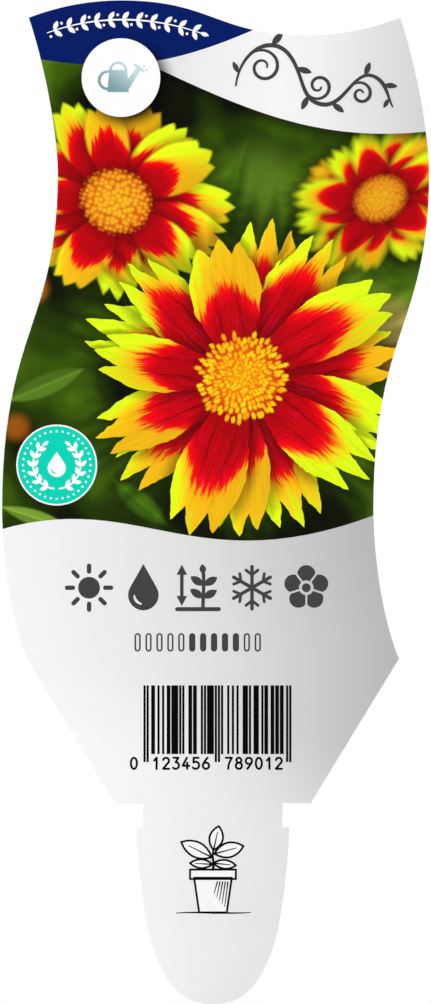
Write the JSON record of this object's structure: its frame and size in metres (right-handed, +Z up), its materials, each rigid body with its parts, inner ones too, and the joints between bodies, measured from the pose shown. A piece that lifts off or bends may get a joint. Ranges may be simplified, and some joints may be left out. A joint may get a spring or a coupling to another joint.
{
  "type": "plant label",
  "caption": "Flat wave-edged stick-in plant label with a printed front, stop shoulders, a notched neck and a rounded tongue that pushes into a pot's slot.",
  "frame": {"origin": "on the back face, midway across the neck, level with the undersides of the shoulders", "axes": "+Z up the label from the tongue to the wavy top edge, +Y out of the blank back face, +X to the right seen from the printed front, which faces -Y"},
  "size_m": [0.0729, 0.0005, 0.171],
  "materials": {
    "sheet": "smooth matt white polypropylene sheet with die-cut edges",
    "grey_print": "satin print, a pale grey that darkens to the right",
    "navy_print": "satin varnished ink, deep navy",
    "picture_print": "satin varnished ink, a picture of red and yellow flowers on dark green",
    "teal_print": "satin varnished ink, bright teal",
    "white_print": "satin varnished white",
    "dark_print": "matt dark grey ink",
    "black_print": "matt black ink"
  },
  "bodies": {
    "root": {"label_sheet": "sheet"}
  },
  "joints": []
}
